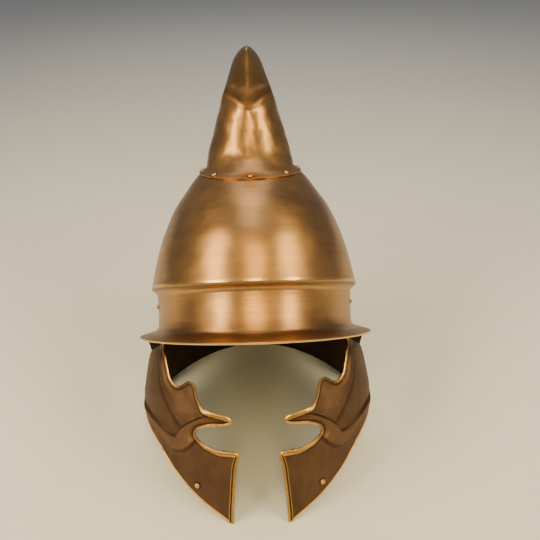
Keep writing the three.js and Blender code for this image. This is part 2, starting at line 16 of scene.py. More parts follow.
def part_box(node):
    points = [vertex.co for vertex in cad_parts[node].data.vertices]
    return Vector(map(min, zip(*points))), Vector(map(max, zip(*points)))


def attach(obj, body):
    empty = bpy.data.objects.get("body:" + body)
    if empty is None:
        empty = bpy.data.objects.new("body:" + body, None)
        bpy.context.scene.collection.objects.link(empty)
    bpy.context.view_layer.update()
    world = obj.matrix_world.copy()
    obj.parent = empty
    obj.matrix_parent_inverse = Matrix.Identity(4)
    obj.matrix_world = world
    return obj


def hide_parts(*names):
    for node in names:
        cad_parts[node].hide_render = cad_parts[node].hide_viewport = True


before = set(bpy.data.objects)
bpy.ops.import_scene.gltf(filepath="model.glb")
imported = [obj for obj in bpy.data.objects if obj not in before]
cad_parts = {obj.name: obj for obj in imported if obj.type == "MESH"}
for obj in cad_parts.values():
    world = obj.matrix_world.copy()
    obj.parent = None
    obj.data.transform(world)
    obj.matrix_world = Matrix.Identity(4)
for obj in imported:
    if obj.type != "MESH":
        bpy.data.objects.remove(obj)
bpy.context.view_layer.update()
MM = 0.001

# %% [markdown]
# The helmet stands leaning back on its neck guard and its two chin tips, but its shape is simpler
# to describe upright: nose towards -Y, brim level at height zero. One matrix takes a point of the
# upright bowl, in millimetres, to its place in the leaning frame. The left hinge pin, whose place
# is known in both, ties the two together.

# %% Upright bowl to leaning frame
LEAN = math.radians(35.2012)
HINGE_X = 94.0
HINGE_Y = -20.0
HINGE_Z = 2.0
HINGE_LENGTH = 44.0

pin_low, pin_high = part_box("left_hinge_pin")
PIN_CENTRE = (pin_low + pin_high) / 2
TURN = Matrix.Rotation(-LEAN, 4, "X")
PIN_UPRIGHT = Vector((HINGE_X, HINGE_Y, HINGE_Z)) * MM
STAND = Matrix.Translation(PIN_CENTRE - TURN @ PIN_UPRIGHT) @ TURN
UPRIGHT = STAND.inverted()


def stand(x, y, z):
    return STAND @ (Vector((x, y, z)) * MM)


print("bowl origin", [round(v, 4) for v in stand(0, 0, 0)])

# %% [markdown]
# The camera stands 60 cm in front of the upright bowl's axis, a little above the brim, and looks
# level with the bowl, so it looks down on the surface that the helmet leans back on. A small lens
# shift gives the photograph's framing, and a small roll its tilt.

# %% Camera
LENS_PIXELS = 560.0
PICTURE = 540.0
EYE = stand(0, -600, 32)
AXIS_PIXEL = 254.4
HORIZON_PIXEL = 305.0
ROLL = math.radians(1.8)


def aim_camera():
    bpy.ops.object.camera_add(location=EYE)
    camera = bpy.context.object
    camera.name = "view_camera"
    camera.data.sensor_width = 36.0
    camera.data.lens = camera.data.sensor_width * LENS_PIXELS / PICTURE
    camera.data.shift_x = (PICTURE / 2 - AXIS_PIXEL) / PICTURE
    camera.data.shift_y = (HORIZON_PIXEL - PICTURE / 2) / PICTURE
    level = Matrix.Rotation(math.radians(90), 3, "X") @ Matrix.Rotation(-ROLL, 3, "Z")
    camera.rotation_euler = (TURN.to_3x3() @ level).to_euler()
    bpy.context.scene.camera = camera
    return camera


camera = aim_camera()
print("camera height", round(camera.location.z, 3))

# %% [markdown]
# A surface of sheet metal is drawn out ring by ring, as a smith raises a bowl: a circle is added,
# its edge is extruded, and the new edge is set to the next section. Each point keeps a number for
# its place round the ring, its turn in degrees from the front, so that a formula can say where
# that place goes.

# %% Raising a sheet ring by ring
TURN_LAYER = "round"
SMOOTH_ANGLE = math.radians(40)


def deselect_all():
    bpy.ops.object.select_all(action="DESELECT")


def select_only(piece):
    deselect_all()
    piece.select_set(True)
    bpy.context.view_layer.objects.active = piece


def start_ring(name, count, place):
    """A first ring of points, left open for editing, at the places a formula gives."""
    deselect_all()
    bpy.ops.mesh.primitive_circle_add(vertices=count, radius=1)
    sheet = bpy.context.object
    sheet.name = name
    bpy.ops.object.mode_set(mode="EDIT")
    bpy.ops.mesh.select_all(action="SELECT")
    mesh = bmesh.from_edit_mesh(sheet.data)
    layer = mesh.verts.layers.float.new(TURN_LAYER)
    for point in mesh.verts:
        point[layer] = math.degrees(math.atan2(point.co.x, -point.co.y))
    bmesh.update_edit_mesh(sheet.data)
    set_ring(sheet, place)
    return sheet


def set_ring(sheet, place):
    mesh = bmesh.from_edit_mesh(sheet.data)
    layer = mesh.verts.layers.float[TURN_LAYER]
    for point in mesh.verts:
        if point.select:
            point.co = place(point[layer])
    bmesh.update_edit_mesh(sheet.data)


def next_ring(sheet, place):
    bpy.ops.mesh.extrude_region_move()
    set_ring(sheet, place)


def end_sheet(sheet):
    bpy.ops.mesh.select_all(action="SELECT")
    bpy.ops.mesh.normals_make_consistent(inside=False)
    bpy.ops.object.mode_set(mode="OBJECT")
    bpy.ops.object.shade_smooth_by_angle(angle=SMOOTH_ANGLE)
    return sheet


# %% [markdown]
# A few curves do all the shaping. One runs smoothly through the rows of a table, so that a few
# measured sections make a whole sheet. Another turns such a row into a closed section.

# %% Curves and sections
FINE_DENT_SIZE = 0.45
FINE_DENT_DEPTH = 0.4
DENTS_IN_FRONT = (0.25, 0.6)


def blend(a, b, share):
    return a + (b - a) * share


def soft_step(low, high, value):
    """0 below one value and 1 above another, with a soft way between."""
    share = min(1.0, max(0.0, (value - low) / (high - low)))
    return share * share * (3 - 2 * share)


def soft_band(limits, value):
    """1 between two values and 0 outside two wider ones: start, full, still full, end."""
    start, full, still_full, end = limits
    return soft_step(start, full, value) * (1 - soft_step(still_full, end, value))


def curve_row(table, place):
    """A row between the rows of a table, on a smooth curve through them."""
    last = len(table) - 1
    here = min(max(place, 0.0), float(last))
    first = min(int(here), last - 1)
    t = here - first
    a = table[max(first - 1, 0)]
    b = table[first]
    c = table[first + 1]
    d = table[min(first + 2, last)]
    row = []
    for p, q, r, s in zip(a, b, c, d):
        m0 = (r - p) / 2
        m1 = (s - q) / 2
        bend = (2 * t**3 - 3 * t**2 + 1) * q + (t**3 - 2 * t**2 + t) * m0
        row.append(bend + (3 * t**2 - 2 * t**3) * r + (t**3 - t**2) * m1)
    return row


def section_place(row):
    """A section's points. Its last two numbers, if given, draw the front in to a keel and lift
    the shoulders, so that a line across the front sags like a hung chain."""
    half, front_y, front_z, back_y, back_z = row[:5]
    keel, shoulder = row[5:7] if len(row) > 5 else (0.0, 0.0)

    def place(degrees):
        a = math.radians(degrees)
        front = math.cos(a)
        lift = shoulder * math.sin(2 * a) ** 2 if front > 0 else 0.0
        if front > 0:
            front = blend(front, 1 - abs(math.sin(a)), keel)
        back = (1 - front) / 2
        height = blend(front_z, back_z, back) + lift
        return stand(half * math.sin(a), blend(front_y, back_y, back), height)

    return place


def dented(place, depth, size, all_round=True):
    """The same place pushed in or out a little, by the shallow marks that hammering leaves. Marks
    that aren't all round stay in front, clear of the hinges."""
    centre = (place(90) + place(-90)) / 2

    def marked(degrees):
        spot = place(degrees)
        coarse = noise.noise(spot / (size * MM))
        fine = noise.noise(spot / (FINE_DENT_SIZE * size * MM))
        front = math.cos(math.radians(degrees))
        share = 1.0 if all_round else soft_step(*DENTS_IN_FRONT, front)
        outward = (spot - centre).normalized()
        return spot + outward * (coarse + FINE_DENT_DEPTH * fine) * share * depth * MM

    return marked


# %% [markdown]
# Real sheet has a thickness, and its cut edges are never sharp. Solidify grows the wall inwards,
# so that the outside keeps the measured shape, and Bevel breaks the edges.

# %% Thickness and edges
WALL = 1.5
EDGE_BEVEL = 0.35
BEVEL_ANGLE = math.radians(50)


def finish_wall(sheet, bevel=EDGE_BEVEL):
    """The wall, softly broken edges, and the inside in a second material slot."""
    sheet.data.materials.append(None)
    sheet.data.materials.append(None)
    solidify = sheet.modifiers.new("wall", "SOLIDIFY")
    solidify.thickness = WALL * MM
    solidify.offset = -1
    solidify.material_offset = 1
    solidify.material_offset_rim = 0
    edge = sheet.modifiers.new("edge", "BEVEL")
    edge.width = bevel * MM
    edge.segments = 2
    edge.limit_method = "ANGLE"
    edge.angle_limit = BEVEL_ANGLE
    select_only(sheet)
    for modifier in list(sheet.modifiers):
        bpy.ops.object.modifier_apply(modifier=modifier.name)
    bpy.ops.object.shade_smooth_by_angle(angle=SMOOTH_ANGLE)
    return sheet


# %% [markdown]
# The bowl is one sheet: dome, projecting ridge, upright band, flat brim in front and neck guard
# behind. The dome's sections are half width, front and back points in millimetres of the upright
# bowl. They run on a smooth curve, and the ridge and the band under it are crisp, so their rows
# are used as they are.

# %% Skull bowl sections
BOWL_POINTS = 160
DOME = [
    (40.5, -60.5, 157.4, 22.0, 194.2),
    (46.5, -66.0, 154.0, 28.5, 192.2),
    (53.3, -72.0, 149.4, 37.0, 189.0),
    (60.8, -77.5, 144.0, 56.0, 181.4),
    (69.4, -85.5, 136.0, 76.5, 168.5),
    (80.0, -95.5, 124.0, 93.5, 151.0),
    (87.6, -104.5, 111.0, 106.0, 132.0),
    (94.0, -112.5, 98.0, 115.0, 112.0),
    (98.9, -119.0, 84.0, 120.5, 92.0),
    (102.8, -123.0, 70.0, 123.5, 72.0),
    (105.6, -125.2, 58.0, 124.8, 57.0),
]
RIDGE = [
    (106.6, -126.1, 54.6, 125.4, 53.2),
    (107.1, -126.4, 53.0, 125.5, 51.6),
    (106.9, -126.2, 51.6, 125.3, 50.2),
    (105.9, -125.0, 49.7, 124.0, 48.3),
    (103.8, -123.0, 48.0, 122.4, 46.6),
    (101.9, -121.6, 46.2, 121.3, 44.8),
    (101.2, -121.2, 44.0, 121.0, 43.0),
    (100.7, -120.8, 36.0, 120.7, 35.5),
    (100.6, -120.7, 28.0, 120.6, 28.0),
    (100.7, -120.9, 20.0, 120.7, 20.0),
    (101.0, -121.0, 13.0, 121.0, 13.0),
]
DOME_STEPS = 5

# %% [markdown]
# Below the band the sheet turns out to a brim in front, and behind the ears it turns down to the
# neck guard. Both are drawn as one skirt: a table gives its edge all round, and another how far
# each row has come from the band's foot to that edge. The neck guard rests on the floor, so its
# edge never goes below it.

# %% Brim and neck guard
BRIM_HALF_WIDTH = 121.0
BRIM_HALF_DEPTH = 139.0
BRIM_FRONT_HEIGHT = 0.6
BRIM_SIDE_HEIGHT = 3.6
NAPE_DEPTH = 132.0
NAPE_HEIGHT = -18.0
BAND_HALF_WIDTH = 101.0
BAND_HALF_DEPTH = 121.0
BAND_FOOT = 13.0
FLOOR_CLEARANCE = 0.2

# Edge behind the brim: turn from the front in degrees, share of half width and of half depth,
# height, and share of neck guard against brim
NAPE_EDGE = [
    (90, 1.0, 0.0, 3.6, 0.0),
    (97, 1.0, 0.115, 2.6, 0.08),
    (103, 0.99, 0.225, -7.0, 0.3),
    (109, 0.972, 0.335, -26.0, 0.6),
    (115, 0.945, 0.43, -48.0, 0.85),
    (122, 0.905, 0.515, -66.0, 1.0),
    (130, 0.84, 0.6, -80.0, 1.0),
    (140, 0.72, 0.706, -80.0, 1.0),
    (150, 0.573, 0.8, -80.0, 1.0),
    (160, 0.4, 0.88, -80.0, 1.0),
    (170, 0.204, 0.933, -80.0, 1.0),
    (180, 0.0, 0.95, -80.0, 1.0),
]

# Shares of the way out and down from the band's foot, for brim and for neck guard
SKIRT = [
    (0.02, 0.10, 0.02, 0.05),
    (0.05, 0.22, 0.05, 0.12),
    (0.10, 0.34, 0.10, 0.22),
    (0.18, 0.44, 0.17, 0.33),
    (0.32, 0.56, 0.29, 0.47),
    (0.50, 0.67, 0.42, 0.60),
    (0.68, 0.79, 0.59, 0.73),
    (0.86, 0.91, 0.79, 0.86),
    (1.0, 1.0, 1.0, 1.0),
]


def table_at(table, value):
    """The row of a table at a value of its first column, straight between rows."""
    if value <= table[0][0]:
        return table[0]
    for low, high in zip(table, table[1:]):
        if value <= high[0]:
            share = (value - low[0]) / (high[0] - low[0])
            return [blend(a, b, share) for a, b in zip(low, high)]
    return table[-1]


def floor_height(y):
    """The height of the floor in the upright bowl's frame, where it slopes."""
    return NAPE_HEIGHT + (y - NAPE_DEPTH) * math.tan(LEAN)


def brim_edge(degrees):
    """The edge's place at a turn, and its share of neck guard."""
    turn = abs(degrees)
    side = math.copysign(1.0, degrees)
    a = math.radians(turn)
    if turn < 90:
        height = blend(BRIM_FRONT_HEIGHT, BRIM_SIDE_HEIGHT, 1 - math.cos(a))
        return (side * BRIM_HALF_WIDTH * math.sin(a), -BRIM_HALF_DEPTH * math.cos(a), height, 0.0)
    _, across, deep, height, nape = table_at(NAPE_EDGE, turn)
    y = BRIM_HALF_DEPTH * deep
    height = max(height, floor_height(y) + FLOOR_CLEARANCE)
    return (side * BRIM_HALF_WIDTH * across, y, height, nape)


def skirt_place(row):
    brim_out, brim_down, nape_out, nape_down = row

    def place(degrees):
        a = math.radians(degrees)
        x = BAND_HALF_WIDTH * math.sin(a)
        y = -BAND_HALF_DEPTH * math.cos(a)
        edge_x, edge_y, edge_z, nape = brim_edge(degrees)
        out = blend(brim_out, nape_out, nape)
        down = blend(brim_down, nape_down, nape)
        return stand(blend(x, edge_x, out), blend(y, edge_y, out), blend(BAND_FOOT, edge_z, down))

    return place


# %% [markdown]
# The rings are now raised in turn: the dome from its opening down, the ridge and band, and the
# skirt. Shallow dents go into the mesh, deepest on the dome's lower half, because it is they that
# make the light wander on a hand-made bowl.

# %% Skull bowl
BAND_DENT = 0.30
BAND_DENT_SIZE = 24.0
DOME_DENT = 0.45
DOME_DENT_SIZE = 30.0
DOME_DENTS_FROM = (0.3, 0.5)


def smooth_rows(table, steps):
    return [curve_row(table, step / steps) for step in range((len(table) - 1) * steps + 1)]


def make_bowl():
    rows = smooth_rows(DOME, DOME_STEPS)
    bowl = start_ring("bowl", BOWL_POINTS, section_place(rows[0]))
    for step, row in enumerate(rows[1:]):
        depth = DOME_DENT * soft_step(*DOME_DENTS_FROM, step / len(rows))
        next_ring(bowl, dented(section_place(row), depth, DOME_DENT_SIZE))
    for row in RIDGE:
        next_ring(bowl, dented(section_place(row), BAND_DENT, BAND_DENT_SIZE, False))
    for row in SKIRT:
        next_ring(bowl, skirt_place(row))
    end_sheet(bowl)
    finish_wall(bowl)
    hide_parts("skull_bowl")
    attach(bowl, "helmet")
    return bowl


bowl = make_bowl()
print("bowl faces", len(bowl.data.polygons))

# %% [markdown]
# The peak is a hollow cone with a flange that laps over the dome. It rises with a hollow front,
# then swells forward into a rounded beak. The crease under the beak is where the front points
# turn out again. A row's last two numbers draw in its keel and lift its shoulders. The flange's
# rows are the dome's own first sections, lifted off by a gap.

# %% Peak
PEAK_POINTS = 128
GAP = 0.3
FLANGE_EDGE = 1.78
FLANGE_ROWS = (1.7, 1.5, 1.3, 1.12, 1.0)
PEAK = [
    (45.2, -62.6, 159.4, 29.5, 196.2, 0.0, 0.0),
    (44.6, -56.0, 168.5, 33.0, 205.0, 0.0, 0.0),
    (42.4, -49.5, 181.0, 35.5, 217.0, 0.0, 0.0),
    (38.7, -45.0, 196.0, 35.0, 231.0, 0.0, 0.0),
    (34.0, -43.0, 213.0, 31.5, 246.0, 0.0, 1.0),
    (31.0, -44.0, 222.6, 28.6, 253.4, 0.0, 4.5),
    (29.6, -46.0, 227.4, 26.6, 257.4, 0.0, 8.0),
    (28.9, -47.6, 229.4, 25.4, 259.8, 0.1, 9.0),
    (28.4, -49.8, 231.4, 24.6, 261.6, 0.22, 9.0),
    (26.2, -54.6, 236.6, 22.0, 267.2, 0.34, 7.0),
    (23.3, -60.6, 243.4, 18.0, 273.4, 0.40, 3.8),
    (18.9, -66.4, 254.6, 10.5, 281.5, 0.42, 0.8),
    (14.6, -66.4, 267.4, 0.0, 288.5, 0.38, 0.0),
    (11.1, -62.0, 276.0, -8.0, 292.0, 0.32, 0.0),
    (7.0, -54.5, 283.5, -17.0, 294.0, 0.2, 0.0),
    (3.2, -46.0, 288.8, -26.0, 294.2, 0.1, 0.0),
]
PEAK_STEPS = 5
PEAK_TIP = (0.0, -37.0, 293.2)
PEAK_DENT = 0.85
PEAK_DENT_SIZE = 17.0
PEAK_DENTS_FROM = (0.0, 0.12)
TIP_SMOOTH_FROM = (0.5, 0.75)
TIP_SMOOTH = 0.8


def flange_place(share, lift):
    """A place on the dome near its opening, lifted straight off it."""
    row = curve_row(DOME, share)
    inner = curve_row(DOME, share - 0.5 if share >= 0.5 else share)
    outer = curve_row(DOME, share + 0.5)

    def place(degrees):
        point = section_place(row)(degrees)
        down = section_place(outer)(degrees) - section_place(inner)(degrees)
        along = section_place(row)(degrees + 1) - section_place(row)(degrees - 1)
        return point + down.cross(along).normalized() * lift * MM

    return place


def make_peak():
    rows = smooth_rows(PEAK, PEAK_STEPS)
    lift = GAP + WALL
    peak = start_ring("peak", PEAK_POINTS, flange_place(FLANGE_EDGE, lift))
    for share in FLANGE_ROWS:
        next_ring(peak, flange_place(share, lift))
    for step, row in enumerate(rows):
        share = step / len(rows)
        smooth = 1 - TIP_SMOOTH * soft_step(*TIP_SMOOTH_FROM, share)
        depth = PEAK_DENT * soft_step(*PEAK_DENTS_FROM, share) * smooth
        next_ring(peak, dented(section_place(row), depth, PEAK_DENT_SIZE))
    bpy.ops.mesh.extrude_region_move()
    set_ring(peak, lambda degrees: stand(*PEAK_TIP))
    bpy.ops.mesh.merge(type="CENTER")
    end_sheet(peak)
    finish_wall(peak)
    layer = peak.data.attributes.new("flange", "FLOAT", "POINT")
    for point in layer.data:
        point.value = 1.0
    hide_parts("apex_cone")
    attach(peak, "helmet")
    return peak


peak = make_peak()
print("peak faces", len(peak.data.polygons))

# %% [markdown]
# Each cheek piece is a curved plate. A grid is added, and each of its points goes to a turn round
# the face and a depth below the brim, read from a table of rows between the front and the back
# edge. Relief is then raised by how far a point lies from the edges and from the lines of the
# moustache.

# %% Cheek plate tables
CHEEK_SIDE = 118.0
CHEEK_FRONT = 104.0
CHEEK_CENTRE_Y = 4.0

# Depth below the brim, and swell of the plan oval
SWELL = [
    (-10.0, 0.88),
    (0.0, 0.905),
    (10.0, 0.94),
    (22.0, 0.967),
    (37.0, 0.99),
    (52.0, 1.01),
    (65.0, 1.012),
    (78.0, 1.0),
    (90.0, 0.994),
    (120.0, 0.968),
    (150.0, 0.905),
    (175.0, 0.85),
]

# Rows of the plate: front edge turn and depth, an inner point, back edge turn and depth. The
# inner points make each row leave the front edge squarely, so that rows round the hook and the
# prong never cross.
CHEEK = [
    (59.6, 1.0, 66.0, 1.0, 91.0, 1.0),
    (56.4, 8.0, 63.0, 9.0, 92.5, 8.0),
    (53.6, 16.0, 60.0, 18.0, 94.5, 16.0),
    (50.6, 25.5, 56.6, 28.0, 96.0, 26.0),
    (48.2, 33.8, 53.0, 38.0, 97.0, 35.0),
    (44.6, 39.5, 49.5, 44.5, 97.5, 42.0),
    (40.8, 40.6, 45.0, 49.0, 97.7, 47.0),
    (36.6, 36.4, 42.0, 52.5, 97.5, 51.0),
    (34.0, 36.8, 40.5, 55.5, 97.0, 55.0),
    (32.0, 40.8, 39.6, 58.0, 96.0, 59.0),
    (30.7, 48.5, 39.0, 60.8, 94.0, 63.0),
    (29.2, 55.5, 38.6, 63.4, 91.0, 67.0),
    (27.0, 61.3, 38.4, 66.0, 87.0, 70.5),
    (22.0, 64.3, 38.3, 68.4, 83.0, 74.0),
    (15.0, 67.5, 38.3, 70.6, 79.5, 77.0),
    (13.0, 72.0, 38.4, 72.6, 76.0, 80.5),
    (15.5, 75.8, 38.6, 74.6, 73.0, 83.5),
    (24.2, 76.8, 39.0, 76.8, 70.0, 86.5),
    (30.5, 80.0, 39.6, 80.0, 67.3, 89.5),
    (32.4, 84.8, 40.0, 84.8, 65.0, 92.5),
    (31.0, 89.5, 39.4, 90.0, 62.6, 96.0),
    (27.0, 94.5, 37.6, 96.0, 60.0, 100.0),
    (20.0, 99.0, 33.0, 102.5, 57.8, 104.0),
    (10.4, 101.4, 23.0, 108.0, 55.5, 108.5),
    (11.6, 114.0, 20.0, 116.0, 50.5, 118.5),
    (12.6, 126.0, 19.5, 127.0, 45.5, 129.0),
    (13.6, 138.0, 19.3, 138.3, 40.0, 139.5),
    (14.6, 149.0, 18.8, 149.1, 33.5, 149.5),
    (15.4, 158.0, 18.0, 158.1, 26.5, 158.5),
    (15.9, 165.0, 17.6, 164.8, 21.5, 164.5),
    (16.1, 169.2, 17.0, 169.0, 18.9, 168.6),
]

# The moustache's middle line: turn, depth and half width
MOUSTACHE = [
    (10.0, 71.5, 3.0),
    (20.0, 71.0, 4.0),
    (27.0, 73.0, 6.0),
    (31.0, 79.0, 9.0),
    (36.0, 86.0, 12.0),
    (40.8, 91.2, 11.6),
    (44.6, 95.6, 7.9),
    (48.4, 93.8, 7.2),
    (51.0, 91.0, 6.4),
    (57.4, 83.2, 5.0),
    (61.0, 79.2, 4.4),
    (69.0, 71.5, 4.0),
    (80.0, 62.0, 4.0),
]

# The fold above the moustache: depth and turn
FOLD = [
    (8.0, 62.0),
    (21.7, 58.9),
    (42.2, 54.3),
    (56.0, 49.0),
    (66.0, 45.4),
    (78.0, 41.6),
]

# The front edge's rim by row of the plate: how bright it is, rubbed brass with painted highlight,
# and its width
SHINE = [
    (0.0, 0.70, 3.0),
    (3.0, 1.0, 3.2),
    (5.2, 0.90, 3.4),
    (6.0, 0.06, 2.8),
    (9.4, 0.06, 2.4),
    (11.3, 0.22, 2.4),
    (12.2, 1.0, 4.4),
    (14.6, 1.0, 4.6),
    (15.2, 0.8, 2.8),
    (17.4, 0.8, 2.8),
    (18.4, 0.22, 3.0),
    (20.2, 0.16, 3.2),
    (21.0, 0.9, 4.0),
    (22.8, 1.0, 4.2),
    (23.3, 0.5, 3.0),
    (30.0, 0.5, 2.6),
]

# %% [markdown]
# In plan the plate follows an oval round the face. Its top edge is drawn in to the hinge, where it
# is straight and lies along the knuckle, and only its front corner turns in ahead of the hinge.

# %% Cheek plate shape
KNUCKLE_SHARE = 0.27
PLATE_OUT = 0.9
TOP_AT_KNUCKLE = 0.5
TOP_BESIDE = 2.3
AHEAD = -0.17
TURN_IN = 29.0
INNER_SHARE = 0.42

# Turn of each end of the hinge at the brim, and its change with depth
HINGE_FRONT = (64.6, -0.585)
HINGE_BACK = (90.8, 0.23)


def cheek_radius(turn, depth):
    a = math.radians(turn)
    swell = table_at(SWELL, depth)[1]
    return swell / math.hypot(math.sin(a) / CHEEK_SIDE, math.cos(a) / CHEEK_FRONT)


def hinge_share(turn, depth):
    """How far along the hinge a place near the plate's top edge lies. Below 0 is ahead of it."""
    front = HINGE_FRONT[0] + HINGE_FRONT[1] * depth
    back = HINGE_BACK[0] + HINGE_BACK[1] * depth
    return min(1.0, max(AHEAD, (turn - front) / (back - front)))


def cheek_spot(turn, depth, lift):
    """A place on the plate in the upright frame, raised by a lift, in millimetres."""
    a = math.radians(turn)
    share = hinge_share(turn, depth)
    at_knuckle = KNUCKLE_SHARE < share < 1 - KNUCKLE_SHARE
    depth = max(depth, TOP_AT_KNUCKLE if at_knuckle else TOP_BESIDE)
    reach = cheek_radius(turn, depth) + lift
    spot = Vector((reach * math.sin(a), CHEEK_CENTRE_Y - reach * math.cos(a), -depth))
    along = HINGE_Y - HINGE_LENGTH / 2 + share * HINGE_LENGTH
    hinge = Vector((HINGE_X + PLATE_OUT + TURN_IN * min(0.0, share), along, -depth))
    return hinge.lerp(spot, soft_step(1, 17, HINGE_Z + depth))


def cheek_turn_depth(row, share):
    """Turn and depth at a row of the table and a share of the way from front edge to back."""
    front, front_depth, inner, inner_depth, back, back_depth = curve_row(CHEEK, row)
    if share < INNER_SHARE:
        part = share / INNER_SHARE
        return blend(front, inner, part), blend(front_depth, inner_depth, part)
    part = (share - INNER_SHARE) / (1 - INNER_SHARE)
    return blend(inner, back, part), blend(inner_depth, back_depth, part)


# %% [markdown]
# The relief is a height added to the plate: a rolled rim that is higher in front, the moustache,
# and a pad with a steep foot above it. A search tree of each edge tells how far a point lies from
# it. The same masks say where the rims are rubbed bright, with painted highlight, and where
# painted shade lies just inside the front rim and at the pad's foot, and go to the finish as
# attributes.

# %% Cheek relief
RIM_HEIGHT = 1.15
THIN_RIM_HEIGHT = 0.6
LINE_HEIGHT = 0.35
FOLD_HEIGHT = 2.2
VALLEY_DEPTH = 0.7
MOUSTACHE_HEIGHT = 3.0
EDGE_STEPS = 1200

# Soft bands across the plate: distance from the front edge, turn from the fold, or depth
LINE_BAND = (3.8, 4.2, 4.5, 4.9)
LINE_FROM = (100, 104)
THIN_RIM = (0.9, 1.6)
FOLD_DEPTHS = (4, 26, 70, 82)
VALLEY = (-16, -2, -2, 0.2)
FOOT_SHADE = (-1.2, 0.2, 0.6, 5.0)
FOOT_DEPTHS = (8, 30, 76, 84)


def edge_tree(share):
    """A search tree of the points along one edge of the plate."""
    tree = kdtree.KDTree(EDGE_STEPS + 1)
    for step in range(EDGE_STEPS + 1):
        row = step / EDGE_STEPS * (len(CHEEK) - 1)
        turn, depth = cheek_turn_depth(row, share)
        tree.insert(cheek_spot(turn, depth, 0), step)
    tree.balance()
    return tree


front_tree = edge_tree(0.0)
back_tree = edge_tree(1.0)


def moustache_mask(turn, depth):
    """Full inside the band, with a crisp upper side and a softer lower one."""
    _, middle, half = table_at(MOUSTACHE, turn)
    above = soft_step(middle - half - 1.4, middle - half + 2.6, depth)
    below = 1 - soft_step(middle + half - 3.6, middle + half + 1.8, depth)
    return above * below * (1 - soft_step(70, 82, turn))


def fold_lift(turn, depth):
    """A pad that stands steeply over the fold line and dies away towards the nose."""
    line = table_at(FOLD, depth)[1]
    ahead = line - turn
    steep = soft_step(-0.5, 1.1, ahead)
    gone = 1 - soft_step(2.0, 15.0, ahead)
    raised = FOLD_HEIGHT * steep * gone - VALLEY_DEPTH * soft_band(VALLEY, ahead)
    return soft_band(FOLD_DEPTHS, depth) * raised


def cheek_relief(spot, turn, depth):
    """Lift of the surface, and how bright, how much moustache and how much painted shade a place
    has.
    """
    _, step, from_front = front_tree.find(spot)
    from_back = back_tree.find(spot)[2]
    _, shine, width = table_at(SHINE, step / EDGE_STEPS * (len(CHEEK) - 1))
    rise = 0.55 + 0.45 * soft_step(0, 1.3, from_front)
    rim = rise * (1 - soft_step(width - 0.9, width, from_front))
    thin_rim = 1 - soft_step(*THIN_RIM, from_back)
    inner_line = soft_band(LINE_BAND, from_front) * soft_step(*LINE_FROM, depth)
    band = moustache_mask(turn, depth)
    inside = soft_step(width - 0.6, width + 5, from_front)
    lift = (MOUSTACHE_HEIGHT * band + fold_lift(turn, depth) * (1 - band)) * inside
    lift = max(lift, RIM_HEIGHT * rim, THIN_RIM_HEIGHT * thin_rim) + LINE_HEIGHT * inner_line
    # The rims are rubbed brass with painted highlight: brighter where the table says, and lower
    # down.
    thin_bright = thin_rim * blend(0.6, 1.0, soft_step(50, 75, depth))
    bright = max(shine * soft_step(0, 0.5, rim), thin_bright, 0.6 * inner_line)
    # Painted shade just inside the front rim and at the foot of the pad over the fold.
    shade_and_dirt = soft_band((width - 0.4, width + 0.2, width + 0.5, width + 2.4), from_front)
    foot = soft_band(FOOT_SHADE, turn - table_at(FOLD, depth)[1])
    shade_and_dirt = max(shade_and_dirt, foot * soft_band(FOOT_DEPTHS, depth) * (1 - band))
    return lift, bright, band, shade_and_dirt


# %% [markdown]
# The plate is one grid, with its columns crowded towards both edges, where the rims need them. The
# other plate is its mirror image.

# %% Cheek plates
CHEEK_ROWS = 380
CHEEK_COLUMNS = 108
CROWDING = 0.6
RIVET_TURN = 35.0
RIVET_DEPTH = 134.0
RIVET_SPOT = cheek_spot(RIVET_TURN, RIVET_DEPTH, 0)
RIVET_RING = (2.7, 4.6)
MASKS = ("rubbed_and_highlit_edge", "moustache", "shade_and_dirt")


def make_cheek_plate(name):
    deselect_all()
    bpy.ops.mesh.primitive_grid_add(x_subdivisions=CHEEK_COLUMNS, y_subdivisions=CHEEK_ROWS, size=2)
    plate = bpy.context.object
    plate.name = name
    mesh = plate.data
    layers = [mesh.attributes.new(key, "FLOAT", "POINT") for key in MASKS]
    for index, point in enumerate(mesh.vertices):
        even = (point.co.x + 1) / 2
        share = blend(even, (1 - math.cos(math.pi * even)) / 2, CROWDING)
        row = (1 - point.co.y) / 2 * (len(CHEEK) - 1)
        turn, depth = cheek_turn_depth(row, share)
        flat = cheek_spot(turn, depth, 0)
        lift, edge, band, shade_and_dirt = cheek_relief(flat, turn, depth)
        ring = 1 - soft_step(*RIVET_RING, (flat - RIVET_SPOT).length)
        for layer, value in zip(layers, (edge, band, max(shade_and_dirt, ring))):
            layer.data[index].value = value
        point.co = STAND @ (cheek_spot(turn, depth, lift) * MM)
    bpy.ops.object.mode_set(mode="EDIT")
    bpy.ops.mesh.select_all(action="SELECT")
    bpy.ops.mesh.remove_doubles(threshold=0.00001)
    bpy.ops.object.mode_set(mode="OBJECT")
    return plate


def copy_piece(piece, name):
    select_only(piece)
    bpy.ops.object.duplicate(linked=False)
    bpy.context.object.name = name
    return bpy.context.object


def mirror_copy(piece, name):
    copy = copy_piece(piece, name)
    copy.data.transform(Matrix.Scale(-1, 4, (1, 0, 0)))
    copy.data.flip_normals()
    return copy


def join_cheek(piece, side):
    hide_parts(side + "_cheek_piece")
    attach(piece, side + "_cheek")


left_cheek = make_cheek_plate("cheek_left")
finish_wall(left_cheek)
join_cheek(left_cheek, "left")
right_cheek = mirror_copy(left_cheek, "cheek_right")
join_cheek(right_cheek, "right")
print("cheek faces", len(left_cheek.data.polygons))

# %% [markdown]
# The plate turns round its hinge pin by a knuckle, a short tube rolled from its top edge. It sits
# between the two knuckles of the leaf that is riveted inside the band.

# %% Knuckles
BARREL_RADIUS = 3.3
BARREL_SIDES = 40
BARREL_BEVEL = 0.2


